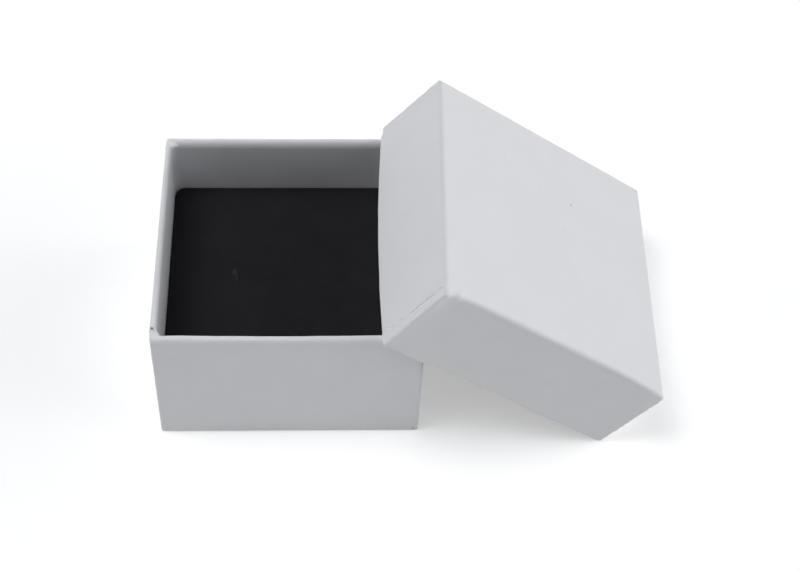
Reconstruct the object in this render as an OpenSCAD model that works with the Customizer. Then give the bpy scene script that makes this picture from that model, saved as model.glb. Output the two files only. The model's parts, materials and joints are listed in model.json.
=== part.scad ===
// Ring display box: a square paper-covered tray with a telescoping lid and a foam ring pad.
// The lid is off and leans on the tray: the rim of its left wall lies across the tray's front and
// back rims, and its right rim edge stands on the table.
// Origin: middle of the tray's underside. +X right, +Y back, +Z up. Millimetres.

/* [Tray] */
// Outside width of the tray, left to right
base_w = 50; // [40:1:90]
// Outside depth of the tray, front to back
base_d = 50; // [40:1:90]
// Outside height of the tray
base_h = 30; // [24:1:40]
// How far the covering paper is turned in below the tray's rim
base_turn_in = 18; // [8:1:20]

/* [Lid] */
// Outside height of the lid
lid_h = 18; // [16:1:28]
// Gap between the tray and each wall of the lid, when the lid is on
lid_clear = 0.3; // [0.2:0.05:1]
// How far the covering paper is turned in above the lid's rim
lid_turn_in = 14; // [6:1:14]

/* [Where the lid leans] */
// How far inside the tray's right wall the lid's left rim lies
lean_in = 7; // [4:0.5:12]
// Turn of the lid seen from above, about the middle of its overlap with the tray, in degrees
lean_turn = -1.5; // [-2:0.25:2]
// Air left between the lid's rim and the tray's rims
lean_gap = 0.1; // [0.05:0.05:0.5]

/* [Board and paper] */
// Thickness of the greyboard
board_t = 1; // [0.8:0.1:1.6]
// Thickness of the covering paper
wrap_t = 0.1; // [0.08:0.01:0.2]
// Thickness of the liners on the tray's floor and inside the lid's top
liner_t = 0.1; // [0.08:0.01:0.3]
// Gap round each liner
liner_clear = 0.2; // [0.1:0.05:1]
// Outside radius of the upright corners, and of the folds between the floor and the walls
corner_r = 0.9; // [0.6:0.1:1.8]
// Inside radius that the turned-in paper leaves in the upright corners
turn_r = 0.8; // [0.4:0.1:2]
// Open slit between two folded board walls
fold_slit = 0.1; // [0.05:0.05:0.3]
// Distance from an upright corner to the paper edge of the side panel
seam_in = 2; // [1:0.5:6]
// Step down from the side panel to the corner tab under it
seam_step = 0.05; // [0.02:0.01:0.07]

/* [Corner stays] */
// Width of one leg of a corner stay
stay_w = 8; // [4:1:14]
// Thickness of a corner stay, which is pressed flush into the board
stay_t = 0.1; // [0.05:0.01:0.2]
// Distance from a stay's ends to the rounded fold and to the board's rim
stay_margin = 1.5; // [0.5:0.5:4]

/* [Ring pad] */
// Thickness of the foam block
foam_h = 15; // [10:0.5:20]
// Thickness of the flocked face on the foam
face_t = 0.5; // [0.3:0.1:1]
// Gap between the pad and each wall of the tray
pad_clear = 0.3; // [0.2:0.05:1]
// Radius of the pad's upright corners
pad_r = 2; // [1:0.5:6]
// Length of the ring slit, left to right
slit_l = 22; // [14:1:30]
// Width of the ring slit
slit_w = 0.8; // [0.4:0.1:2]
// Depth of the ring slit from the pad's top
slit_depth = 9; // [4:0.5:9.5]

/* [Hidden] */
$fn = 48;
cut = 1;                                   // how far a cut runs past the surface it opens
board_in_r = 0.2;                          // inside radius of the folded board's corners
wall_t = board_t + 2 * wrap_t;             // a finished wall: paper, board, turned-in paper
panel_t = wrap_t + board_t + liner_t;      // the finished floor of the tray, or top of the lid
lid_w = base_w + 2 * (lid_clear + wall_t);
lid_d = base_d + 2 * (lid_clear + wall_t);
// The lid's left wall touches with the inner edge of its rim, its right wall with the outer edge
lean_angle = asin((base_h + lean_gap) / (lid_w - wall_t));
lean_z = base_h + lean_gap + wall_t * sin(lean_angle);
// Corner directions: left or right, front or back
FRONT_LEFT = [-1, -1];
FRONT_RIGHT = [1, -1];
BACK_LEFT = [-1, 1];
BACK_RIGHT = [1, 1];

// ---- shapes shared by the tray and the lid, drawn as a tray that stands on z = 0 ----

module rounded_square(w, d, r) {
    square([w - 2 * r, d], center = true);
    square([w, d - 2 * r], center = true);
    for (x = [-1, 1], y = [-1, 1])
        translate([x * (w / 2 - r), y * (d / 2 - r)]) circle(r);
}

// Upright block of w by d from z0 to z1
module block(w, d, z0, z1, r) {
    translate([0, 0, z0]) linear_extrude(z1 - z0) rounded_square(w, d, r);
}

// The same block drawn in by t on each side
module block_in(w, d, t, z0, z1, r) {
    block(w - 2 * t, d - 2 * t, z0, z1, r);
}

// Section of a folded wall pair: w wide, drawn in by t, up to z1, its two folds rounded
module folded_section(w, t, z1) {
    x_mid = w / 2 - corner_r;
    translate([-w / 2 + t, corner_r]) square([w - 2 * t, z1 - corner_r]);
    translate([-x_mid, t]) square([2 * x_mid, corner_r]);
    for (side = [-1, 1]) translate([side * x_mid, corner_r]) circle(corner_r - t);
}

// Block up to z1, drawn in by t on each side and at the bottom, its folds and corners rounded alike
module folded_block(w, d, t, z1) {
    intersection() {
        block_in(w, d, t, t, z1, corner_r - t);
        rotate([90, 0, 0]) linear_extrude(d, center = true) folded_section(w, t, z1);
        rotate([90, 0, 90]) linear_extrude(w, center = true) folded_section(d, t, z1);
    }
}

// Tape that holds one corner of the board, pressed flush into its outside faces
module stay(w, d, h, corner) {
    leg = stay_w + wrap_t;
    intersection() {
        difference() {
            block_in(w, d, wrap_t, corner_r + stay_margin, h - wrap_t - stay_margin, corner_r - wrap_t);
            block_in(w, d, wrap_t + stay_t, 0, h, corner_r - wrap_t - stay_t);
        }
        translate([corner[0] * w / 2, corner[1] * d / 2, h / 2]) cube([2 * leg, 2 * leg, h], center = true);
    }
}

// One scored blank, folded up: floor and four walls, with an open slit at each upright corner
module folded_board(w, d, h) {
    floor_top = wrap_t + board_t;
    slit_len = 4 * board_t;
    difference() {
        folded_block(w, d, wrap_t, h - wrap_t);
        block_in(w, d, wrap_t + board_t, floor_top, h, board_in_r);
        for (x = [-1, 1], y = [-1, 1]) {
            stay(w, d, h, [x, y]);
            translate([x * (w / 2 - wall_t / 2), y * (d / 2 - wall_t / 2), floor_top])
                rotate([0, 0, 45 * x * y])
                    translate([-slit_len / 2, -fold_slit / 2, 0]) cube([slit_len, fold_slit, h]);
        }
    }
}

// Covering paper: under the floor, up the walls, over the rim and turned in
module wrapping(w, d, h, turn_in) {
    difference() {
        union() {
            difference() {
                folded_block(w, d, 0, h);
                folded_block(w, d, wrap_t, h + cut);
            }
            difference() {
                block(w, d, h - wrap_t, h, corner_r);
                block_in(w, d, wall_t, h - wrap_t - cut, h + cut, turn_r);
            }
            difference() {
                block_in(w, d, wrap_t + board_t, h - turn_in, h, board_in_r);
                block_in(w, d, wall_t, h - turn_in - cut, h + cut, turn_r);
            }
        }
        // the side panels stop short of the corners and show the tabs under them
        for (x = [-1, 1], y = [-1, 1])
            translate([x * (w / 2 - seam_step + cut / 2), y * (d / 2 - seam_in + (seam_in + cut) / 2), h / 2])
                cube([cut, seam_in + cut, h + 2 * cut], center = true);
    }
}

// Paper glued on the floor between the walls
module liner(w, d) {
    block_in(w, d, wrap_t + board_t + liner_clear, wrap_t + board_t, panel_t, board_in_r);
}

// ---- tray ----

module base_board() { color("#9c978d") folded_board(base_w, base_d, base_h); }
module base_stay(corner) { color("#b89c72") stay(base_w, base_d, base_h, corner); }
module base_wrap() { color("#d9dadd") wrapping(base_w, base_d, base_h, base_turn_in); }
module base_liner() { color("#ececea") liner(base_w, base_d); }

// ---- ring pad ----

module pad_layer(z0, z1) {
    difference() {
        block_in(base_w, base_d, wall_t + pad_clear, z0, z1, pad_r);
        ring_slit();
    }
}

module ring_slit() {
    pad_top = panel_t + foam_h + face_t;
    translate([0, 0, pad_top - slit_depth]) linear_extrude(slit_depth + cut) {
        square([slit_l - slit_w, slit_w], center = true);
        for (x = [-1, 1]) translate([x * (slit_l - slit_w) / 2, 0]) circle(slit_w / 2);
    }
}

module insert_foam() { color("#1f2022") pad_layer(panel_t, panel_t + foam_h); }
module insert_face() { color("#27282b") pad_layer(panel_t + foam_h, panel_t + foam_h + face_t); }

// ---- lid ----

// Turns a tray-shaped piece upside down and leans it on the tray
module leaning() {
    pivot_x = base_w / 2 - lean_in / 2;
    translate([pivot_x, 0, 0]) rotate([0, 0, lean_turn])
        translate([-lean_in / 2, 0, lean_z]) rotate([0, lean_angle, 0])
            translate([lid_w / 2, 0, lid_h]) rotate([180, 0, 0]) children();
}

// The lid is drawn upside down, so a corner at its front is drawn at the back
module lid_stay(corner) {
    color("#b89c72") leaning() stay(lid_w, lid_d, lid_h, [corner[0], -corner[1]]);
}
module lid_board() { color("#9c978d") leaning() folded_board(lid_w, lid_d, lid_h); }
module lid_wrap() { color("#d9dadd") leaning() wrapping(lid_w, lid_d, lid_h, lid_turn_in); }
module lid_liner() { color("#ececea") leaning() liner(lid_w, lid_d); }

base_board();
base_stay(FRONT_LEFT);  // base_stay_front_left
base_stay(FRONT_RIGHT);  // base_stay_front_right
base_stay(BACK_LEFT);  // base_stay_back_left
base_stay(BACK_RIGHT);  // base_stay_back_right
base_wrap();
base_liner();
insert_foam();
insert_face();
lid_board();
lid_stay(FRONT_LEFT);  // lid_stay_front_left
lid_stay(FRONT_RIGHT);  // lid_stay_front_right
lid_stay(BACK_LEFT);  // lid_stay_back_left
lid_stay(BACK_RIGHT);  // lid_stay_back_right
lid_wrap();
lid_liner();
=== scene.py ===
"""Looks of a paper-covered ring display box: its tray, its black ring pad and its leaning lid."""

import json
import math

import bmesh
import bpy
import numpy as np
from mathutils import Matrix, Vector, noise


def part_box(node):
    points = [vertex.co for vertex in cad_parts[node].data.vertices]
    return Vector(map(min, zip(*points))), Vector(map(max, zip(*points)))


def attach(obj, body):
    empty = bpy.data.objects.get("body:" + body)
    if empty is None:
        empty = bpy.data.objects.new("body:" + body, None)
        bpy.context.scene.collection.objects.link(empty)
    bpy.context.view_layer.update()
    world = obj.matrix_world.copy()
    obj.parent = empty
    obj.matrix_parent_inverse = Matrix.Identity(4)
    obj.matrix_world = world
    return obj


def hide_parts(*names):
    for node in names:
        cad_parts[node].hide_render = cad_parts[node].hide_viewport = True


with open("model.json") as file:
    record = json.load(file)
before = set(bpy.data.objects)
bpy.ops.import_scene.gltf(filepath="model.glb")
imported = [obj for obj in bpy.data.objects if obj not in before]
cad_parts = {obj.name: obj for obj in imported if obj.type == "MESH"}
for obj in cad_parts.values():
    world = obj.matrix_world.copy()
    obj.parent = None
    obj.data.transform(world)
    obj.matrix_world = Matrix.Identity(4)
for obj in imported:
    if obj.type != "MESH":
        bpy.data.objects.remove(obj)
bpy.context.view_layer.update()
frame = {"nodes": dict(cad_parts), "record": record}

# ---- sizes in millimetres, as in the part's source ----

MM = 0.001
tray_low, tray_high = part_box("base_wrap")
pad_low, pad_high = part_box("insert_foam")
face_low, face_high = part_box("insert_face")
BASE_W, BASE_D, BASE_H = (tray_high - tray_low) / MM
PAD_BOTTOM = pad_low.z / MM
FACE_BOTTOM = face_low.z / MM
PAD_TOP = face_high.z / MM

BOARD_T = 1             # a finished wall is this board between two papers
PAPER_T = 0.1
WALL_T = BOARD_T + 2 * PAPER_T
LID_CLEAR = 0.3         # gap between the tray and each wall of the lid, when the lid is on
LID_W = BASE_W + 2 * (LID_CLEAR + WALL_T)
LID_D = BASE_D + 2 * (LID_CLEAR + WALL_T)
LID_H = 18
BASE_TURN_IN = 18
LID_TURN_IN = 14
LEAN_IN = 7             # how far inside the tray's right wall the lid's left rim lies
LEAN_TURN = math.radians(-1.5)
LEAN_GAP = 0.1          # air left between the lid's rim and the tray's rims

lean_angle = math.asin((BASE_H + LEAN_GAP) / (LID_W - WALL_T))
lean_z = BASE_H + LEAN_GAP + WALL_T * math.sin(lean_angle)
# The lid is built like the tray, standing on z = 0 with its rim up, then turned over and leant
LEANING = (
    Matrix.Translation((BASE_W / 2 - LEAN_IN / 2, 0, 0))
    @ Matrix.Rotation(LEAN_TURN, 4, "Z")
    @ Matrix.Translation((-LEAN_IN / 2, 0, lean_z))
    @ Matrix.Rotation(lean_angle, 4, "Y")
    @ Matrix.Translation((LID_W / 2, 0, LID_H))
    @ Matrix.Rotation(math.pi, 4, "X")
)


# ---- meshes ----

SHARP_FOLD = math.radians(50)   # an edge that turns more than this stays sharp
SEED_SHIFT = (1, 0.37, -0.61)   # each seed takes its noise from another place along this line


def add_mesh(name, points, faces):
    """New object with a smooth mesh, its points given in millimetres, its sharp folds kept."""
    mesh = bpy.data.meshes.new(name)
    mesh.from_pydata([Vector(p) * MM for p in points], [], faces)
    mesh.validate()
    work = bmesh.new()
    work.from_mesh(mesh)
    bmesh.ops.recalc_face_normals(work, faces=work.faces)
    work.to_mesh(mesh)
    work.free()
    mesh.polygons.foreach_set("use_smooth", [True] * len(mesh.polygons))
    mesh.set_sharp_from_angle(angle=SHARP_FOLD)
    obj = bpy.data.objects.new(name, mesh)
    bpy.context.scene.collection.objects.link(obj)
    return obj


def loft(name, rings, ring_closed=False):
    """Skin through rings of equally many points. The ends are fanned, or joined to each other."""
    count = len(rings[0])
    points = [tuple(p) for ring in rings for p in ring]
    faces = []

    def band(a, b):
        for i in range(count):
            j = (i + 1) % count
            faces.append((a * count + i, a * count + j, b * count + j, b * count + i))

    for k in range(len(rings) - 1):
        band(k, k + 1)
    if ring_closed:
        band(len(rings) - 1, 0)
    else:
        for k in (0, len(rings) - 1):
            points.append(tuple(np.mean(rings[k], axis=0)))
            centre = len(points) - 1
            faces.extend((centre, k * count + i, k * count + (i + 1) % count) for i in range(count))
    return add_mesh(name, points, faces)


def waves(p, length, seed):
    """Smooth noise from -1 to 1 with that wavelength in millimetres."""
    return noise.noise(Vector(p) / length + Vector([seed * share for share in SEED_SHIFT]))


def smooth(x):
    """Rises smoothly from 0 to 1 as x does, and is level on both sides."""
    x = np.clip(x, 0, 1)
    return x * x * (3 - 2 * x)


def hill(x, centre, width):
    """1 at the centre, and about a third at that width on each side of it."""
    return np.exp(-(((x - centre) / width) ** 2))


# ---- paper shells: the covering papers of the tray and the lid ----

# The paper's edges are softer than the board's own
TURN_R = 1.7            # inside radius of the turned-in paper's upright corners
WEB_R = 0.4             # what the paper adds to it where it bridges them at the rim
WEB_DOWN = 2.0          # how far down it does
POINT_R = 0.12          # radius left at the four corners of the panel
LEAST_R = 0.05          # and at least on the sheet's back
FOLD_OPENS = 35         # degrees round the fold where that radius starts to open up

# Lengths along an outline round the corner, where a side flap ends on the tab under it
FLAP_END = 3            # the flap's last stretch
SLIVER = 0.03           # the slant of its cut edge
FURROW_W = 0.2          # the furrow along that edge
STRIP_SHARE = 0.4       # where a flap ends on the rounding, the strip past it is this share of the rest
WALL_START = 4          # the next wall's first stretch
ZONE_STEPS = (20, 10, 1, 1, 4, 6, 12, 20)   # stations in each zone, from one wall's middle to the next's
LUMPY_STATIONS = 14     # how many stations past the flap's edge are lumpy with glue

# Rows of the sheet's face, and of its back, which the board hides: how many cross the panel and each
# rounding, and how far apart they are up the wall and on the turned-in paper
FACE_ROWS = (27, 7, 0.3, 0.6)
BACK_ROWS = (3, 4, 3, 3)


class Shell:
    """A tray-shaped covering paper that stands on z = 0. The rims give, for the left, right, front and
    back wall, the outer edge's radius, how far across and down the pressed inner edge reaches, and how
    far that edge leans inward where it starts, in degrees. The side flaps' edges lie seam_in from the
    upright corners at the rim, and less at the fold. Puff is how far the paper stands off the board's
    folds and corners, and lump how uneven the glued corners are."""

    def __init__(self, size, turn_in, corner_r, fold_r, seam_in, rims, puff, lump, seed, bumps, bend):
        self.w, self.d, self.h = size
        self.turn_in = turn_in
        self.corner_r = corner_r
        self.fold_r = fold_r
        self.seam_in = seam_in
        self.rims = np.array(rims)
        self.puff = puff
        self.lump = lump
        self.seed = seed
        self.bumps = bumps
        self.bend = bend


def quadrant_point(w, d, r, s):
    """Point and outward normal at arc length s, from the right wall's middle to the back wall's."""
    straight = d / 2 - r
    if s <= straight:
        return (w / 2, s), (1, 0)
    turn = (s - straight) / r
    if turn <= math.pi / 2:
        normal = (math.cos(turn), math.sin(turn))
        return (w / 2 - r + r * normal[0], d / 2 - r + r * normal[1]), normal
    return (w / 2 - r - (s - straight - r * math.pi / 2), d / 2), (0, 1)


def outline(w, d, r, seam):
    """Points and normals round a rounded rectangle. Every outline has the same stations, so that
    outlines can be lofted: denser at the corners, and doubled at the side flaps' edges."""
    side = d / 2 - r
    corner_end = side + r * math.pi / 2
    strip_end = seam + STRIP_SHARE * (corner_end - seam) if seam >= side else side
    furrow = min(seam + FURROW_W, (seam + 2 * strip_end) / 3)
    marks = (0, seam - FLAP_END, seam, seam + SLIVER, furrow, strip_end,
             corner_end, corner_end + WALL_START, corner_end + w / 2 - r)
    starts = np.cumsum((0,) + ZONE_STEPS)
    lengths = np.interp(np.arange(starts[-1] + 1), starts, marks)
    quadrant = [quadrant_point(w, d, r, s) for s in lengths]
    points, normals = [], []
    for sx, sy, order in ((1, 1, 1), (-1, 1, -1), (-1, -1, 1), (1, -1, -1)):
        for p, n in quadrant[::order][:-1]:
            points.append((p[0] * sx, p[1] * sy))
            normals.append((n[0] * sx, n[1] * sy))
    return np.array(points), np.array(normals)


def steps_past_flap():
    """For each station, how many stations it lies past the nearest flap's edge: 0 or less on a flap."""
    starts = np.cumsum((0,) + ZONE_STEPS)
    quadrant = np.arange(starts[-1] + 1) - starts[2]
    stations = []
    for order in (1, -1, 1, -1):
        stations.extend(quadrant[::order][:-1])
    return np.array(stations)


PAST_FLAP = steps_past_flap()
ON_FLAP = PAST_FLAP <= 0
IN_FURROW = PAST_FLAP == 1
IN_LUMPS = (PAST_FLAP >= 1) & (PAST_FLAP <= LUMPY_STATIONS)


def shell_rows(shell, t):
    """The sheet's rows from the middle of the panel over the fold, wall and rim to the turned-in edge,
    as (kind, at), where at is a share of the way, or an angle on a rounding. t is 0 on its face."""
    panel_rows, arc_steps, wall_step, inside_step = FACE_ROWS if t == 0 else BACK_ROWS
    wall_rows = round(shell.h / wall_step)
    inside_rows = round(shell.turn_in / inside_step)
    rows = [("panel", share) for share in np.linspace(0, 1, panel_rows)[1:-1]]
    rows += [("fold", a) for a in np.linspace(0, math.pi / 2, arc_steps + 1)]
    rows += [("wall", share) for share in np.linspace(0, 1, wall_rows)[1:-1]]
    rows += [("edge", a) for a in np.linspace(0, math.pi / 2, arc_steps + 1)]
    rows += [("brow", a) for a in np.linspace(0, math.pi / 2, 2 * arc_steps + 1)[1:]]
    rows += [("inside", share) for share in np.linspace(0, 1, inside_rows)[1:]]
    return rows


def by_wall(normals, table):
    """The walls' values, mixed round the corners."""
    nx, ny = normals.T
    shares = np.column_stack([np.clip(v, 0, 1) ** 2 for v in (-nx, nx, -ny, ny)])
    return (shares @ table).T


def brow_arc(across, down, tilt):
    """The half axes of the ellipse that a rim's inner edge is cut from, and the angle where it starts."""
    start = np.radians(tilt)
    return across / (1 - np.sin(start)), down / np.cos(start), start


def rim_section(shell, kind, at, t, side):
    """The rim's section at each station: how far in and how high the sheet lies there, t under its face,
    and how far it looks outward and up."""
    edge_r, across, down, tilt = by_wall(side, shell.rims)
    if kind == "edge":
        reach = edge_r - t
        inset = edge_r - reach * math.cos(at)
        return inset, shell.h - edge_r + reach * math.sin(at), math.cos(at), math.sin(at)
    if kind == "brow":
        long, tall, start = brow_arc(across - t, down - t, tilt)
        turn = start + (math.pi / 2 - start) * at / (math.pi / 2)
        inset = WALL_T - across + long * (np.sin(turn) - np.sin(start))
        length = np.hypot(np.sin(turn) / long, np.cos(turn) / tall)
        outward, upward = -np.sin(turn) / long / length, np.cos(turn) / tall / length
        return inset, shell.h - down + tall * np.cos(turn), outward, upward
    z = (shell.h - down) * (1 - at) + (shell.h - shell.turn_in) * at
    return np.full(len(z), WALL_T - t), z, -1, 0


def make_ring(xy, z, side, outward, upward):
    """A ring's points, and where the paper's face looks there: along side by outward, and up."""
    z, outward, upward = (np.broadcast_to(v, len(xy)) for v in (z, outward, upward))
    return np.column_stack((xy, z)), np.column_stack((side * outward[:, None], upward))


def shell_ring(shell, kind, at, t):
    """One ring of the shell, t under its face: its points, and where the paper's face looks there."""
    w, d, h, fold_r = shell.w, shell.d, shell.h, shell.fold_r
    seam = d / 2 - shell.seam_in
    if kind == "panel":
        xy, side = outline(w - 2 * fold_r, d - 2 * fold_r, POINT_R, seam - fold_r)
        return make_ring(xy * at, t, side, 0, -1)
    if kind == "fold":
        reach = fold_r - t
        inset = fold_r - reach * math.sin(at)
        opened = float(smooth((math.degrees(at) - FOLD_OPENS) / (90 - FOLD_OPENS)))
        r = POINT_R + (shell.corner_r - POINT_R) * opened - t
        xy, side = outline(w - 2 * inset, d - 2 * inset, max(r, LEAST_R), seam)
        return make_ring(xy, fold_r - reach * math.cos(at), side, math.sin(at), -math.cos(at))
    xy, side = outline(w, d, shell.corner_r, seam)
    if kind == "wall":
        edge_r = by_wall(side, shell.rims)[0]
        return make_ring(xy - side * t, fold_r + (h - edge_r - fold_r) * at, side, 1, 0)
    inset, z, outward, upward = rim_section(shell, kind, at, t, side)
    # the turned-in paper bridges the inside corners below the rim
    r = TURN_R + WEB_R * math.exp(-((h - z.mean()) / WEB_DOWN) ** 2)
    inner_d = d - 2 * WALL_T
    mid_corner = inner_d / 2 - r + r * math.pi / 4
    inner_xy, inner_side = outline(w - 2 * WALL_T, inner_d, r, mid_corner)
    share = (inset / WALL_T)[:, None]
    xy = xy + (inner_xy - xy) * share
    side = side + (inner_side - side) * share
    side /= np.linalg.norm(side, axis=1)[:, None]
    return make_ring(xy, z, side, outward, upward)


# ---- unevenness of the glued paper: heights in millimetres, and the lengths over which they change ----

SWELL, SWELL_LENGTH = 0.035, 9          # all over the sheet
RIPPLE, RIPPLE_LENGTH = 0.012, 2.6
PANEL_RISE = 0.1        # share of the panel, at its edges, that rises to the folds
FOLD_REACH = 1.5        # how far up the wall the paper stands off at the fold
CORNER_REACH = 2.5      # how far along the wall it does at an upright corner
RIM_PUFF = 0.08         # how far it does at the rim
RIM_REACH = 1.6
RIM_WAVE, RIM_WAVE_LENGTH = 0.05, 3.5
FLAP_LIFT = 0.015       # how far a side flap stands over the tab under it
CURL = 0.2              # how far its cut edge curls up, where it does
CURL_LENGTH = 0.45
CURL_MEAN, CURL_CONTRAST = 0.45, 3
CURL_STATIONS = 1.6     # how fast the curl falls off, in stations from the edge
FURROW_DEPTH = 0.12
LUMP_LENGTH = 0.9
FLAP_START, FLAP_FULL = 0.15, 0.85      # heights where all this starts, and is whole
FLAP_INSIDE = 0.25      # how much of it is left on the turned-in paper
DEEPEST = 0.09          # a dip stays off the sheet's back
FLAP_RUN = 0.45         # how much nearer the corner the cut edge lies at the fold than at the rim
BLADE_DRIFT, DRIFT_LENGTH = 0.15, 3.2   # how far the blade that cut it left its line
BLADE_SHAKE, SHAKE_LENGTH = 0.2, 0.6
FLAP_FOLLOWS = 5.0      # how fast the flap follows its edge less, in stations from it
TAB_FOLLOWS = (2, 6)    # stations past the edge up to which the paper there follows it, and not at all
CORNER_SHIFT = 3        # takes each corner's noise from another place


def at_corner(p, length, seed):
    """Smooth noise up the nearest upright corner of the shell, the same all across it."""
    return waves((p[2], CORNER_SHIFT * np.sign(p[0]), CORNER_SHIFT * np.sign(p[1])), length, seed)


def flap_relief(shell, kind, points, on_top):
    """Side flaps lie on the tabs, and their edges curl up here and there over a furrow."""
    seed = shell.seed
    curl = [CURL_MEAN + CURL_CONTRAST * at_corner(p, CURL_LENGTH, seed + 2) for p in points]
    curl = np.clip(curl, 0, 1)
    lump = np.array([shell.lump * waves(p, LUMP_LENGTH, seed + 3) for p in points])
    edge = np.exp(np.minimum(PAST_FLAP, 0) / CURL_STATIONS)
    lift = np.where(ON_FLAP, FLAP_LIFT + CURL * curl * edge, IN_LUMPS * lump)
    shown = smooth((points[:, 2] - FLAP_START) / (FLAP_FULL - FLAP_START))
    if kind in ("brow", "inside"):
        shown = shown * (FLAP_INSIDE + (1 - FLAP_INSIDE) * on_top)
    return shown * (lift - IN_FURROW * FURROW_DEPTH * curl)


def paper_relief(shell, kind, at, points, facing):
    """How far the paper's face stands proud of its nominal place."""
    seed, z = shell.seed, points[:, 2]
    relief = np.array([SWELL * waves(p, SWELL_LENGTH, seed) + RIPPLE * waves(p, RIPPLE_LENGTH, seed + 5)
                       for p in points])
    if kind == "panel":
        relief += shell.puff * smooth((at - (1 - PANEL_RISE)) / PANEL_RISE)
    else:
        # the fold and the upright corners stand off the board
        corner = np.maximum(shell.w / 2 - abs(points[:, 0]), shell.d / 2 - abs(points[:, 1]))
        near_corner = smooth(1 - corner / CORNER_REACH) * (kind in ("wall", "fold"))
        relief += shell.puff * np.maximum(hill(z, 0, FOLD_REACH), near_corner)
        # so does the rim, which is never quite straight
        on_top = np.clip(facing[:, 2], 0, 1)
        relief += RIM_PUFF * hill(z, shell.h, RIM_REACH) * on_top
        if on_top.max() > 0:
            relief += on_top * [RIM_WAVE * waves(p, RIM_WAVE_LENGTH, seed + 9) for p in points]
        relief += flap_relief(shell, kind, points, on_top)
    for spot, radii, height in shell.bumps:
        relief += height * np.exp(-(((points - spot) / radii) ** 2).sum(axis=1))
    return np.maximum(relief, -DEEPEST)


def blade_run(p, seed):
    """How far the blade that cut a side flap was off its line at that height."""
    drift = BLADE_DRIFT * at_corner(p, DRIFT_LENGTH, seed + 4)
    return drift + BLADE_SHAKE * at_corner(p, SHAKE_LENGTH, seed + 6)


def wavy_seam(shell, kind, points):
    """Runs the side flaps' edges towards the corners at the fold, and to and fro as a blade leaves them."""
    if kind == "panel":
        return points
    start, end = TAB_FOLLOWS
    on_tab = np.clip((end - PAST_FLAP) / (end - start), 0, 1)
    near = np.where(ON_FLAP, np.exp(PAST_FLAP / FLAP_FOLLOWS), on_tab)
    taper = FLAP_RUN * (1 - points[:, 2] / shell.h) * (kind in ("fold", "wall"))
    run = [blade_run(p, shell.seed) for p in points]
    moved = points.copy()
    moved[:, 1] += np.sign(points[:, 1]) * (taper + run) * near
    return moved


def paper_shell(name, shell, matrix=None):
    """The covering paper as one closed sheet: its face with every unevenness, and its back."""
    rings = []
    for kind, at in shell_rows(shell, 0):
        points, facing = shell_ring(shell, kind, at, 0)
        relief = paper_relief(shell, kind, at, points, facing)
        ring = wavy_seam(shell, kind, points) + facing * relief[:, None]
        if matrix is None:
            # what stands on the table is pressed flat by it
            ring[:, 2] = np.maximum(ring[:, 2], 0)
        rings.append(ring)
    back = [shell_ring(shell, kind, at, PAPER_T)[0] for kind, at in shell_rows(shell, PAPER_T)]
    rings = [shell.bend(ring) for ring in rings + back[::-1]]
    if matrix:
        rings = [[matrix @ Vector(p) for p in ring] for ring in rings]
    return loft(name, rings)


# ---- walls that are out of true ----

LID_REACH = 12          # the lid's front and back walls follow its left wall over this length
LID_BOW = 1.0           # how far the middle of its left rim stands out
LID_FLARE = (0.65, 0.2)         # and how far its back and front ends do
LID_TUCK = 1.5          # how far its top front edge lies back between its corners
TUCK_REACH = 10         # how far behind that edge the top follows
TUCK_SQUARE = 6         # a higher power carries the tuck nearer to the corners
LID_SPLAY = (0.8, 0.35)         # how far its front rim stands out at its left end, and along the rest
SPLAY_START = 0.4       # share of the half width where the left end starts
SPLAY_REACH = 2         # how far behind the wall the rest follows
LID_SWELL = (0.3, 0.2)          # how far its top right and top back edges stand out
SWELL_REACH = 8
LID_CRUSH = 0.5         # how far the back left corner of its rim is pressed in
CRUSH_REACH = 1.4
LID_CURVE = 1.2         # above 1, a wall bends more towards its rim

TRAY_LEAN = 0.35        # how far the back end of the tray's left rim is pressed in from outside
LEAN_CURVE = 1.5        # above 1, more of it lies at the back, and at the rim
TRAY_SAG = 0.25         # how far the middle of its front rim lies low
SAG_HALF = 20           # half the length that does
SAG_REACH = 3           # how far behind the wall the sag ends
SAG_CURVE = 4

RIM_AIR = 0.03          # the board stays this far behind the paper's inner face
RIM_LEAST = 0.05        # and keeps at least this thickness in its pressed rim
SLICE = 2.0             # distance between the cuts that let a node bend
RIM_SLICED = 2.8        # depth below the rim that is cut finer
RIM_SLICES = np.linspace(0.15, 1, 11) ** 1.7    # shares of that depth
WELD = 0.001            # points nearer to each other than this are joined


def near_wall(inward, reach):
    """1 at a wall, falling to 0 at that distance inward from it."""
    return smooth(1 - inward / reach)


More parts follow.
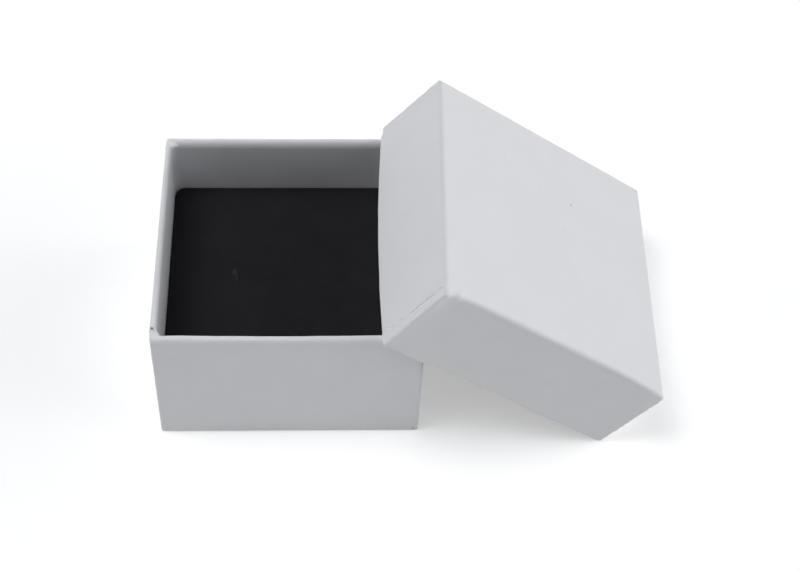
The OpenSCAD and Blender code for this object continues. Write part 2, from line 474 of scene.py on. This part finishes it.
def bend_lid(points):
    """Bends the lid, in its own standing frame, where its back is at -y."""
    bent = np.array(points, float)
    x, y, z = bent.T.copy()
    across, along = np.clip(2 * x / LID_W, -1, 1), np.clip(2 * y / LID_D, -1, 1)
    high = np.clip(z / LID_H, 0, 1)
    back, front = LID_FLARE
    out = LID_BOW * (1 - along ** 2) + back * (1 - along) / 2 + front * (1 + along) / 2
    bent[:, 0] -= out * near_wall(x + LID_W / 2, LID_REACH) * high ** LID_CURVE
    tuck = LID_TUCK * (1 - abs(across) ** TUCK_SQUARE)
    bent[:, 1] -= tuck * near_wall(LID_D / 2 - y, TUCK_REACH) * (1 - high)
    left_end, rest = LID_SPLAY
    splay = rest + (left_end - rest) * smooth((-across - SPLAY_START) / (1 - SPLAY_START))
    behind_wall = np.maximum(LID_D / 2 - WALL_T - y, 0)
    bent[:, 1] += splay * near_wall(behind_wall, SPLAY_REACH) * high ** LID_CURVE
    top_right, top_back = LID_SWELL
    bent[:, 0] += top_right * near_wall(LID_W / 2 - x, SWELL_REACH) * (1 - high)
    bent[:, 1] -= top_back * near_wall(y + LID_D / 2, SWELL_REACH) * (1 - high)
    gap = np.sqrt((x + LID_W / 2) ** 2 + (y + LID_D / 2) ** 2 + (z - LID_H) ** 2)
    bent[:, 2] -= LID_CRUSH * np.exp(-(gap / CRUSH_REACH) ** 2)
    return bent


def bend_tray(points):
    """Bends the tray. The inner face of its left wall stays straight, so that the pad can pass."""
    bent = np.array(points, float)
    x, y, z = bent.T.copy()
    along = np.clip(2 * y / BASE_D, -1, 1)
    high = np.clip(z / BASE_H, 0, 1)
    lean = TRAY_LEAN * ((1 + along) / 2) ** LEAN_CURVE
    bent[:, 0] += lean * near_wall(x + BASE_W / 2, WALL_T) * high ** LEAN_CURVE
    middle = np.clip(1 - (x / SAG_HALF) ** 2, 0, 1)
    behind_wall = y + BASE_D / 2 - WALL_T
    bent[:, 2] -= TRAY_SAG * middle * near_wall(behind_wall, SAG_REACH) * high ** SAG_CURVE
    return bent


def press_rim(points, shell):
    """Rounds the edges of a board's rim, as they are under the paper."""
    pressed = np.array(points, float)
    depth = np.maximum(shell.h - pressed[:, 2], PAPER_T)
    for axis, half in ((0, shell.w / 2), (1, shell.d / 2)):
        wall = 2 * axis + (pressed[:, axis] > 0)
        edge_r, across, down, tilt = shell.rims[wall].T
        long, tall, start = brow_arc(across - PAPER_T, down - PAPER_T, tilt)
        inner = np.sqrt(1 - np.clip((down - depth) / tall, 0, np.cos(start)) ** 2)
        inner = WALL_T - across + long * (inner - np.sin(start)) - RIM_AIR
        drop = np.clip(edge_r - depth, 0, None)
        outer = edge_r - np.sqrt(np.clip((edge_r - PAPER_T) ** 2 - drop ** 2, 0, None))
        outer = np.minimum(outer, inner - RIM_LEAST)
        inset = half - abs(pressed[:, axis])
        share = (inset - PAPER_T) / (WALL_T - 2 * PAPER_T)
        moved = outer + (inner - outer) * share
        in_wall = (inset < WALL_T) & (depth < np.maximum(down, edge_r))
        pressed[:, axis] += np.sign(pressed[:, axis]) * np.where(in_wall, inset - moved, 0)
    return pressed


def bent_copy(node, shell, matrix=None):
    """A CAD node, sliced finely enough to follow the paper's bends and the rim's rounding."""
    matrix = matrix or Matrix.Identity(4)
    work = bmesh.new()
    work.from_mesh(frame["nodes"][node].data)
    bmesh.ops.transform(work, matrix=(Matrix.Scale(MM, 4) @ matrix).inverted(), verts=work.verts)
    bmesh.ops.remove_doubles(work, verts=work.verts, dist=WELD)
    w, d, h = shell.w, shell.d, shell.h
    cuts = (
        (0, np.arange(-w / 2, w / 2, SLICE)),
        (1, np.arange(-d / 2, d / 2, SLICE)),
        (2, [*np.arange(0, h - SLICE, SLICE), *(h - RIM_SLICED * RIM_SLICES)]),
    )
    for axis, places in cuts:
        normal = Vector((0, 0, 0))
        normal[axis] = 1
        for at in places:
            bmesh.ops.bisect_plane(work, geom=work.verts[:] + work.edges[:] + work.faces[:],
                                   plane_co=normal * float(at), plane_no=normal)
    work.verts.index_update()
    points = [v.co[:] for v in work.verts]
    faces = [[v.index for v in f.verts] for f in work.faces]
    work.free()
    if node.endswith("_board"):
        points = press_rim(points, shell)
    return add_mesh(node + "_bent", [matrix @ Vector(p) for p in shell.bend(points)], faces)


# ---- ring pad ----

PAD_SPREAD = 0.16       # the soft pad spreads this much past its solid on each side
PAD_W = (pad_high.x - pad_low.x) / MM + 2 * PAD_SPREAD
PAD_CORNER_R = 2
PAD_EDGE_R = 0.3        # of the face's upper edge, and of the foam's lower one
PAD_STATIONS = 240      # points round each of its rings
TINY = 1e-9             # keeps a division off zero

SLIT_L = 22
SLIT_DEPTH = 9
SLIT_HALF = 0.015       # half the width that the soft slit is left open
SLIT_TAPER = 0.85       # how much less it is at the ends, as a share
SLIT_LEAST = 0.01       # and what is left of it everywhere
SLIT_ROUND = 0.05       # its lips' rounding
SLIT_CLOSES = 0.1       # how much it narrows towards its bottom

FACE_STEPS = 44         # from the pad's edge to the slit's lips
ARC_STEPS = 6           # round each of them
FLOCK_SWELL, FLOCK_SWELL_LENGTH = 0.05, 11
FLOCK_RIPPLE, FLOCK_RIPPLE_LENGTH = 0.018, 1.4
FLOCK_LOW = 0.04        # how far its mean height lies under its solid's top
LIP_RISE = 0.02         # how far the lips stand up
LIP_REACH = 1.6         # how far from the slit they do
LIP_RUN = 1.5           # and past its ends
BACK_RISE = 0.35        # how far the back edge rides up where it rubs on the tray's wall
BACK_REACH = 2.5
TORN_LIP = (-10.9, 1.4)
TORN_RISE = 0.3
TORN_HALF = (0.35, 0.9)

FOAM_SINK = 0.12        # how far the foam's cut sides are drawn in at half height
FOAM_STEP = 0.6         # distance between the rows of these sides
FOAM_ENDS = (1, 0.3)    # where they start over the underside, and end below the top
FOAM_ROUGH, FOAM_CELL = 0.0012, 1.1     # its sides' roughness as a share of the pad's half width
FOAM_SHY = 0.02         # the foam stays this far inside the face's edge


def pad_outline(grow):
    """Outline of the pad, a rounded square, drawn in where grow is below zero."""
    half = PAD_W / 2 + grow
    r = PAD_CORNER_R + grow
    points = []
    for k in range(PAD_STATIONS):
        a = 2 * math.pi * (k + 0.5) / PAD_STATIONS
        # a square's edge in that direction, pulled onto the corner's arc where it passes it
        p = np.array([math.cos(a), math.sin(a)])
        p = p / max(abs(p)) * half
        core = np.clip(p, r - half, half - r)
        away = p - core
        points.append(core + away / max(np.linalg.norm(away), TINY) * r)
    return np.array(points)


def slit_outline(grow):
    """Outline of the slit, matched to the pad's outline, wider where grow is above zero."""
    points = []
    straight = PAD_W / 2 - PAD_CORNER_R
    for x, y in pad_outline(0):
        along = np.clip(x / straight, -1, 1)
        half = max(SLIT_HALF * (1 - SLIT_TAPER * along ** 4) + grow, SLIT_LEAST)
        side = y / (PAD_W / 2)
        if abs(x) < straight:
            points.append((along * SLIT_L / 2, math.copysign(half, y)))
        else:
            points.append((math.copysign(SLIT_L / 2 + half * math.sqrt(1 - side * side), x), half * side))
    return np.array(points)


def pad_ring(xy, z):
    """A level ring at that height."""
    return np.column_stack((xy, np.full(len(xy), z)))


def rings_between(start, stop, shares, z):
    """Level rings that lead from one outline to another."""
    return [pad_ring(start + (stop - start) * share, z) for share in shares]


def arc_rings(make, z, r, start, stop, steps):
    """Rings round an edge: make(grow) gives the outline, grow running from -r to 0."""
    rings = []
    for k in range(steps + 1):
        a = math.radians(start + (stop - start) * k / steps)
        rings.append(pad_ring(make(-r + r * math.cos(a)), z + r * math.sin(a)))
    return rings


def flock_relief(p):
    """The flocked sheet's unevenness, and the torn lip at the slit's left end."""
    swell = FLOCK_SWELL * waves(p, FLOCK_SWELL_LENGTH, 3)
    relief = swell + FLOCK_RIPPLE * waves(p, FLOCK_RIPPLE_LENGTH, 8) - FLOCK_LOW
    lip = hill(abs(p[1]), 0, LIP_REACH) * smooth((SLIT_L / 2 + LIP_RUN - abs(p[0])) / LIP_RUN)
    torn = hill(p[0], TORN_LIP[0], TORN_HALF[0]) * hill(p[1], TORN_LIP[1], TORN_HALF[1])
    ride = BACK_RISE * smooth((p[1] - PAD_W / 2 + BACK_REACH) / BACK_REACH)
    return relief + LIP_RISE * lip + TORN_RISE * torn + ride


def pad_face():
    """The flocked sheet: its soft edge, its top, its lips turned into the slit, and its underside."""
    rings = arc_rings(pad_outline, PAD_TOP - PAD_EDGE_R, PAD_EDGE_R, 0, 90, ARC_STEPS)
    shares = [k / FACE_STEPS for k in range(1, FACE_STEPS)]
    rings += rings_between(rings[-1][:, :2], slit_outline(SLIT_ROUND), shares, PAD_TOP)
    for k in range(ARC_STEPS + 1):
        a = math.radians(90 * k / ARC_STEPS)
        lips = slit_outline(SLIT_ROUND * (1 - math.sin(a)))
        rings.append(pad_ring(lips, PAD_TOP - SLIT_ROUND * (1 - math.cos(a))))
    slit = slit_outline(0)
    rings.append(pad_ring(slit, FACE_BOTTOM))
    rings += rings_between(slit, pad_outline(0), (0.3, 0.7, 1), FACE_BOTTOM)
    for ring in rings:
        top = smooth((ring[:, 2] - FACE_BOTTOM) / (PAD_TOP - FACE_BOTTOM))
        ring[:, 2] += top * [flock_relief(p) for p in ring]
    return loft("ring_pad_flocking", rings, ring_closed=True)


def pad_foam():
    """The foam block: flat underside, cut sides a little drawn in, and the slit's walls."""
    base = pad_outline(-PAD_EDGE_R)
    rings = [pad_ring(base * share, PAD_BOTTOM) for share in (0.3, 0.6, 0.9)]
    rings += arc_rings(pad_outline, PAD_BOTTOM + PAD_EDGE_R, PAD_EDGE_R, -90, 0, 4)
    first, last = PAD_BOTTOM + FOAM_ENDS[0], FACE_BOTTOM - FOAM_ENDS[1]
    for z in np.arange(first, last, FOAM_STEP):
        sink = FOAM_SINK * math.sin(math.pi * (z - PAD_BOTTOM) / (FACE_BOTTOM - PAD_BOTTOM))
        rings.append(pad_ring(pad_outline(-sink), z))
    for ring in rings:
        ring[:, :2] *= np.array([[1 + FOAM_ROUGH * waves(p, FOAM_CELL, 21)] for p in ring])
    rim = pad_outline(-FOAM_SHY)
    rings.append(pad_ring(rim, FACE_BOTTOM))
    rings += rings_between(rim, slit_outline(0), (0.25, 0.5, 0.75, 1), FACE_BOTTOM)
    slit_bottom = PAD_TOP - SLIT_DEPTH
    for z in np.linspace(FACE_BOTTOM, slit_bottom, 8)[1:]:
        narrower = SLIT_CLOSES * (FACE_BOTTOM - z) / (FACE_BOTTOM - slit_bottom)
        rings.append(pad_ring(slit_outline(-narrower), z))
    return loft("ring_pad_foam", rings)


# ---- materials ----

RIM_PAINTED_LIGHT = 1.1         # painted light: how much paler the paper near a level rim is painted, against the rest
RIM_FADE = (1.4, 0.2)   # depths below the rim where this starts, and is whole
SPECK_AND_SHADE_COLOR = (0.2, 0.2, 0.21)
SPECK_AND_SHADE_CORE = 0.3        # share of a dark spot's radius that has its full depth
# Where the pad's torn lip shows paler: (place, one over its half width each way, strength)
TORN_SPOTS = (
    ((-10.9, 1.5, 0), (1.7, 0.85, 0), 0.6),
    ((-10.5, 0.2, 0), (3.5, 0.8, 0), 0.5),
)


def rgb(r, g, b):
    return (r, g, b, 1.0)


def slot_color(slot):
    """The record's base colour for that slot."""
    color = next(m["base_color"] for m in frame["record"]["materials"] if m["slot"] == slot)
    return rgb(*color)


def shade(color, factor):
    """The colour made darker, or lighter, by a factor."""
    return rgb(*(c * factor for c in color[:3]))


class Nodes:
    """A node tree, written as nested calls. Sockets are linked, other values are set."""

    def __init__(self, tree):
        self.nodes = tree.nodes
        self.links = tree.links

    def set(self, node, key, value):
        if isinstance(value, bpy.types.NodeSocket):
            self.links.new(value, node.inputs[key])
        else:
            node.inputs[key].default_value = value

    def node(self, kind, inputs=None, **settings):
        made = self.nodes.new(kind)
        for key, value in settings.items():
            setattr(made, key, value)
        for key, value in (inputs or {}).items():
            self.set(made, key, value)
        return made

    def math(self, operation, *values):
        return self.node("ShaderNodeMath", dict(enumerate(values)), operation=operation).outputs[0]

    def vector(self, operation, a, b):
        """Two vectors multiplied, their dot product or distance, or a vector scaled by a value."""
        second = "Scale" if operation == "SCALE" else 1
        made = self.node("ShaderNodeVectorMath", {0: a, second: b}, operation=operation)
        return made.outputs["Vector" if operation in ("MULTIPLY", "SCALE") else "Value"]

    def mix(self, share, a, b):
        """Colour a where share is 0, and b where it is 1."""
        return self.node("ShaderNodeMix", {0: share, 6: a, 7: b}, data_type="RGBA").outputs[2]


class Paint(Nodes):
    """A surface material. Its patterns are in millimetres."""

    def __init__(self, name):
        self.material = bpy.data.materials.new(name)
        self.material.use_nodes = True
        super().__init__(self.material.node_tree)
        self.shader = self.nodes["Principled BSDF"]
        self.mm = self.vector("MULTIPLY", self.node("ShaderNodeTexCoord").outputs["Object"], (1 / MM,) * 3)

    def noise(self, size, detail=3.0, rough=0.55, stretch=(1, 1, 1)):
        """Noise from 0 to 1 with that grain size."""
        inputs = {"Vector": self.vector("MULTIPLY", self.mm, stretch), "Scale": 1 / size,
                  "Detail": detail, "Roughness": rough}
        return self.node("ShaderNodeTexNoise", inputs).outputs["Fac"]

    def span(self, value, low, high, start=0.0, stop=1.0):
        """Maps value from start..stop to low..high, clamped."""
        return self.node("ShaderNodeMapRange", {"Value": value, "From Min": start, "From Max": stop,
                                                "To Min": low, "To Max": high}).outputs[0]

    def bump(self, height, depth, under=None):
        """Bump of that depth, on top of another one."""
        inputs = {"Height": height, "Distance": depth * MM, "Strength": 1.0}
        if under is not None:
            inputs["Normal"] = under
        return self.node("ShaderNodeBump", inputs).outputs[0]

    def finish(self, color, roughness, normal, specular, **constants):
        self.set(self.shader, "Base Color", color)
        self.set(self.shader, "Roughness", roughness)
        self.set(self.shader, "Normal", normal)
        self.shader.inputs["Specular IOR Level"].default_value = specular
        for key, value in constants.items():
            self.shader.inputs[key.replace("_", " ").title()].default_value = value
        return self.material


def wrap_paper(name, specks_and_shade, rim=None):
    """Smooth white covering paper: calendered fibres, faint mottle, a few dark spots (place, radius,
    depth), some of them painted shade in gaps, and painted light that makes it paler near a level rim at
    that height."""
    paint = Paint(name)
    paper = slot_color("wrap_paper")
    mottle = paint.span(paint.noise(7, 4), 0, 1, 0.3, 0.7)
    color = paint.mix(mottle, shade(paper, 0.975), shade(paper, 1.01))
    fibre = paint.noise(0.35, 6, 0.65)
    color = paint.mix(paint.span(fibre, 0, 1, 0.35, 0.75), color, shade(paper, 1.015))
    if rim:
        height = paint.node("ShaderNodeSeparateXYZ", {0: paint.mm}).outputs["Z"]
        start, full = RIM_FADE
        # painted light: the paper is painted paler near the level rim
        painted_rim_light = paint.span(height, 0, 1, rim - start, rim - full)
        color = paint.mix(painted_rim_light, color, shade(paper, RIM_PAINTED_LIGHT))
    # each spot darkens the paper: a speck, or painted shade in a gap
    for place, radius, depth in specks_and_shade:
        away = paint.vector("DISTANCE", paint.mm, place)
        color = paint.mix(paint.span(away, depth, 0, radius * SPECK_AND_SHADE_CORE, radius), color, rgb(*SPECK_AND_SHADE_COLOR))
    roughness = paint.span(paint.noise(1.5, 3), 0.44, 0.54)
    normal = paint.bump(paint.noise(2.2, 2), 0.006)
    normal = paint.bump(fibre, 0.004, normal)
    return paint.finish(color, roughness, normal, 0.4)


def liner_paper():
    """Plain white paper, matte and a little rough."""
    paint = Paint("liner_paper")
    paper = slot_color("liner_paper")
    fibre = paint.noise(0.5, 6, 0.7)
    color = paint.mix(paint.span(fibre, 0, 1, 0.3, 0.7), shade(paper, 0.95), paper)
    return paint.finish(color, 0.75, paint.bump(fibre, 0.008), 0.3)


def greyboard():
    """Grey recycled board with darker and paler fibres in it."""
    paint = Paint("greyboard")
    board = slot_color("greyboard")
    pulp = paint.noise(1.2, 5, 0.7)
    color = paint.mix(paint.span(pulp, 0, 1, 0.3, 0.7), shade(board, 0.82), shade(board, 1.12))
    fibre = paint.noise(0.25, 4, 0.6, (1, 0.25, 1))
    color = paint.mix(paint.span(fibre, 0, 0.5, 0.62, 0.75), color, shade(board, 0.45))
    return paint.finish(color, 0.9, paint.bump(pulp, 0.03), 0.25)


def stay_paper():
    """Brown paper tape with long fibres."""
    paint = Paint("stay_paper")
    tape = slot_color("stay_paper")
    fibre = paint.noise(0.3, 5, 0.65, (1, 1, 0.2))
    color = paint.mix(paint.span(fibre, 0, 1, 0.3, 0.7), shade(tape, 0.85), shade(tape, 1.1))
    return paint.finish(color, 0.65, paint.bump(fibre, 0.01), 0.35)


def black_foam():
    """Fine-celled foam: each open cell is a pit."""
    paint = Paint("black_foam")
    foam = slot_color("black_foam")
    cells = paint.node("ShaderNodeTexVoronoi", {"Vector": paint.mm, "Scale": 3.2}).outputs["Distance"]
    color = paint.mix(paint.span(cells, 0, 1, 0.1, 0.6), shade(foam, 0.55), shade(foam, 1.15))
    return paint.finish(color, 0.95, paint.bump(cells, 0.09), 0.2)


def black_flock():
    """Short black flock: a fine nap, slightly cloudy, paler where the lip of the slit is torn."""
    paint = Paint("black_flock")
    flock = slot_color("black_flock")
    nap = paint.noise(0.16, 3, 0.6)
    cloud = paint.noise(6, 3)
    color = paint.mix(paint.span(nap, 0, 1, 0.3, 0.7), shade(flock, 0.55), flock)
    color = paint.mix(paint.span(cloud, 0, 0.5, 0.4, 0.7), color, flock)
    for spot, stretch, share in TORN_SPOTS:
        spot = tuple(Vector(spot) * Vector(stretch))
        away = paint.vector("DISTANCE", paint.vector("MULTIPLY", paint.mm, stretch), spot)
        color = paint.mix(paint.span(away, share, 0, 0.2, 1.0), color, shade(flock, 2.4))
    return paint.finish(color, 1.0, paint.bump(nap, 0.05), 0.1, sheen_weight=0.04, sheen_roughness=0.5)


# ---- the object ----

# Folds and crinkles of the paper, in the standing frames: (place, radii, height)
TRAY_BUMPS = (
    ((-23.5, 22.9, 29.9), (0.7, 1.0, 0.4), 0.14),
    ((-23.8, 19.0, 30.0), (0.7, 3.5, 0.4), 0.1),
    ((-23.8, -19.5, 30.0), (0.7, 3.0, 0.4), 0.1),
    ((-24.6, -21.8, 30.0), (0.5, 0.35, 0.5), 0.12),
    ((-24.6, -22.5, 30.0), (0.4, 0.3, 0.5), -0.06),
    ((23.2, -25.0, 1.2), (0.5, 0.5, 0.5), 0.1),
    ((23.9, -25.0, 0.9), (0.35, 0.5, 0.35), -0.08),
)
LID_BUMPS = (
    ((-25.7, 26.2, 0.4), (0.5, 0.6, 0.5), 0.35),
    ((-24.6, 26.2, 0.4), (0.4, 0.6, 0.6), -0.09),
    ((-23.3, 26.1, 0.2), (0.6, 0.6, 0.5), 0.35),
    ((-21.9, 26.0, 0.2), (0.5, 0.7, 0.6), -0.09),
    ((-19.8, 26.0, 0.2), (0.8, 0.7, 0.5), 0.14),
    ((-26.3, 25.2, 0.6), (0.6, 0.35, 0.7), 0.2),
    ((-26.3, 24.0, 0.4), (0.6, 0.4, 0.8), 0.14),
)
# Dark spots on the paper, where they are on the standing tray and the leaning lid: (place, radius, depth)
TRAY_SPECKS_AND_SHADE = (
    # painted shade: the gap at the notch of the front left rim, over a pit there
    ((-24.6, -22.5, 30.0), 0.5, 1.0),
    # a dark spot in the dent at the front right foot
    ((24.0, -25.0, 0.9), 0.3, 0.8),
)
# each a speck on the lid's top
LID_SPECKS = (
    ((55.5, 10.7, 26.3), 0.35, 0.5),
    ((41.8, 15.0, 36.2), 0.3, 0.2),
    ((38.0, 4.4, 38.7), 0.3, 0.12),
    ((48.9, 11.2, 31.1), 0.3, 0.15),
    ((53.5, 3.1, 27.7), 0.3, 0.15),
    ((64.8, 8.6, 19.7), 0.3, 0.15),
)

# (outer radius, across, down, tilt) of the rims of the left, right, front and back walls
TRAY_RIMS = ((0.2, 1.0, 1.2, 14), (0.35, 0.8, 1.4, 0), (0.65, 0.45, 0.7, 0), (0.2, 1.0, 1.9, 0))
LID_RIMS = ((0.4, 0.5, 0.9, 0),) * 4

TRAY = Shell((BASE_W, BASE_D, BASE_H), BASE_TURN_IN, corner_r=0.6, fold_r=0.6, seam_in=2, rims=TRAY_RIMS,
             puff=0.04, lump=0.06, seed=11, bumps=TRAY_BUMPS, bend=bend_tray)
LID = Shell((LID_W, LID_D, LID_H), LID_TURN_IN, corner_r=0.45, fold_r=0.8, seam_in=2.2, rims=LID_RIMS,
            puff=0.13, lump=0.14, seed=23, bumps=LID_BUMPS, bend=bend_lid)


def dress(node, material):
    """Gives a CAD node that stays its finish."""
    mesh = frame["nodes"][node].data
    mesh.materials.clear()
    mesh.materials.append(material)


def stand_in(piece, body, material, node):
    """Puts a modelled piece in a CAD node's place."""
    piece.data.materials.append(material)
    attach(piece, body)
    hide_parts(node)


board, tape, lining = greyboard(), stay_paper(), liner_paper()
for side in ("front_left", "front_right", "back_right"):
    dress("base_stay_" + side, tape)
dress("base_liner", lining)

tray_paper = paper_shell("base_wrap_paper", TRAY)
stand_in(tray_paper, "base", wrap_paper("wrap_paper_tray", TRAY_SPECKS_AND_SHADE, BASE_H), "base_wrap")

lid_paper = paper_shell("lid_wrap_paper", LID, LEANING)
stand_in(lid_paper, "lid", wrap_paper("wrap_paper_lid", LID_SPECKS), "lid_wrap")

# What lies behind bent paper bends with it
bent_nodes = (
    ("base_board", "base", board, "greyboard"),
    ("base_stay_back_left", "base", tape, "stay_paper"),
    ("lid_board", "lid", board, "greyboard"),
    ("lid_stay_front_left", "lid", tape, "stay_paper"),
    ("lid_stay_front_right", "lid", tape, "stay_paper"),
    ("lid_stay_back_left", "lid", tape, "stay_paper"),
    ("lid_stay_back_right", "lid", tape, "stay_paper"),
    ("lid_liner", "lid", lining, "liner_paper"),
)
for node, body, material, slot in bent_nodes:
    shell, matrix = (LID, LEANING) if body == "lid" else (TRAY, None)
    stand_in(bent_copy(node, shell, matrix), body, material, node)

foam = pad_foam()
stand_in(foam, "insert", black_foam(), "insert_foam")
flocking = pad_face()
stand_in(flocking, "insert", black_flock(), "insert_face")


# ---- floor, light and camera ----

FLOOR_HALF = 1500       # half its width, in millimetres
FLOOR_TONE = 0.92
FLOOR_DROP = 0.1        # how far under the object it lies, so that no face lies in its plane
FLOOR_GLOW = 0.38       # lifts the seen floor to white, and leaves the shadow on it
# The studio is a white tent, lit from high on the left, through both sides and by a low card in front:
# (azimuth and elevation in degrees, with azimuth 0 to the right and 90 to the back; sharpness; brightness)
TENT_PANELS = (
    (180, 68, 30, 7.2),
    (180, 10, 8, 1.5),
    (0, 10, 8, 4.1),
    (-90, 3, 40, 0.9),
)
TENT_TINT = (0.985, 1.0, 1.022)

# The camera stands where a fit of the box's corners in the photograph puts it
CAMERA_AT = (6.36, -203.59, 270.49)     # in millimetres
CAMERA_TURN = (51.449, 4.318, -3.321)   # degrees down, to the right of +Y, and of roll
CAMERA_LENS = 74.19
SENSOR_WIDTH = 36
CLIP_START = 0.01       # in metres


def seen_directly(tree):
    """A socket that is 1 for rays that show the background: from the camera, or off gloss or glass."""
    path = tree.node("ShaderNodeLightPath")
    total = path.outputs["Is Camera Ray"]
    for name in ("Is Glossy Ray", "Is Transmission Ray"):
        total = tree.math("MAXIMUM", total, path.outputs[name])
    return total


def make_floor():
    """A white floor that glows where it is seen, so that it looks white and keeps the shadow."""
    sides = ((-1, -1), (1, -1), (1, 1), (-1, 1))
    corners = [(x * FLOOR_HALF, y * FLOOR_HALF, -FLOOR_DROP) for x, y in sides]
    floor = add_mesh("floor", corners, [(0, 1, 2, 3)])
    material = bpy.data.materials.new("floor_white")
    material.use_nodes = True
    tree = Nodes(material.node_tree)
    tree.nodes.clear()
    matte = tree.node("ShaderNodeBsdfDiffuse", {"Color": rgb(FLOOR_TONE, FLOOR_TONE, FLOOR_TONE)})
    glowing = tree.math("MULTIPLY", seen_directly(tree), FLOOR_GLOW)
    glow = tree.node("ShaderNodeEmission", {"Strength": glowing})
    both = tree.node("ShaderNodeAddShader", {0: matte.outputs[0], 1: glow.outputs[0]})
    tree.node("ShaderNodeOutputMaterial", {"Surface": both.outputs[0]})
    floor.data.materials.append(material)


def make_world():
    """The tent's light. Seen directly, it is plain white."""
    world = bpy.data.worlds.new("studio")
    bpy.context.scene.world = world
    world.use_nodes = True
    tree = Nodes(world.node_tree)
    outward = tree.node("ShaderNodeTexCoord").outputs["Generated"]
    total = 0.0
    for azimuth, elevation, sharpness, brightness in TENT_PANELS:
        a, e = math.radians(azimuth), math.radians(elevation)
        towards = (math.cos(a) * math.cos(e), math.sin(a) * math.cos(e), math.sin(e))
        facing = tree.vector("DOT_PRODUCT", outward, towards)
        lit = tree.math("POWER", tree.math("MAXIMUM", facing, 0.0), sharpness)
        total = tree.math("MULTIPLY_ADD", lit, brightness, total)
    tinted = tree.vector("SCALE", TENT_TINT, total)
    shown = tree.mix(seen_directly(tree), tinted, rgb(1, 1, 1))
    tree.set(tree.nodes["Background"], "Color", shown)


def make_camera():
    elevation, yaw, roll = (math.radians(a) for a in CAMERA_TURN)
    level, drop = math.cos(elevation), math.sin(elevation)
    forward = Vector((math.sin(yaw) * level, math.cos(yaw) * level, -drop))
    right = Vector((math.cos(yaw), -math.sin(yaw), 0))
    down = forward.cross(right)
    right, down = (right * math.cos(roll) + down * math.sin(roll),
                   down * math.cos(roll) - right * math.sin(roll))
    data = bpy.data.cameras.new("camera")
    data.sensor_width = SENSOR_WIDTH
    data.lens = CAMERA_LENS
    data.clip_start = CLIP_START
    camera = bpy.data.objects.new("camera", data)
    turn = Matrix((right, -down, -forward)).transposed().to_4x4()
    camera.matrix_world = Matrix.Translation(Vector(CAMERA_AT) * MM) @ turn
    bpy.context.scene.collection.objects.link(camera)
    bpy.context.scene.camera = camera


make_floor()
make_world()
make_camera()
bpy.context.scene.view_settings.view_transform = "Standard"
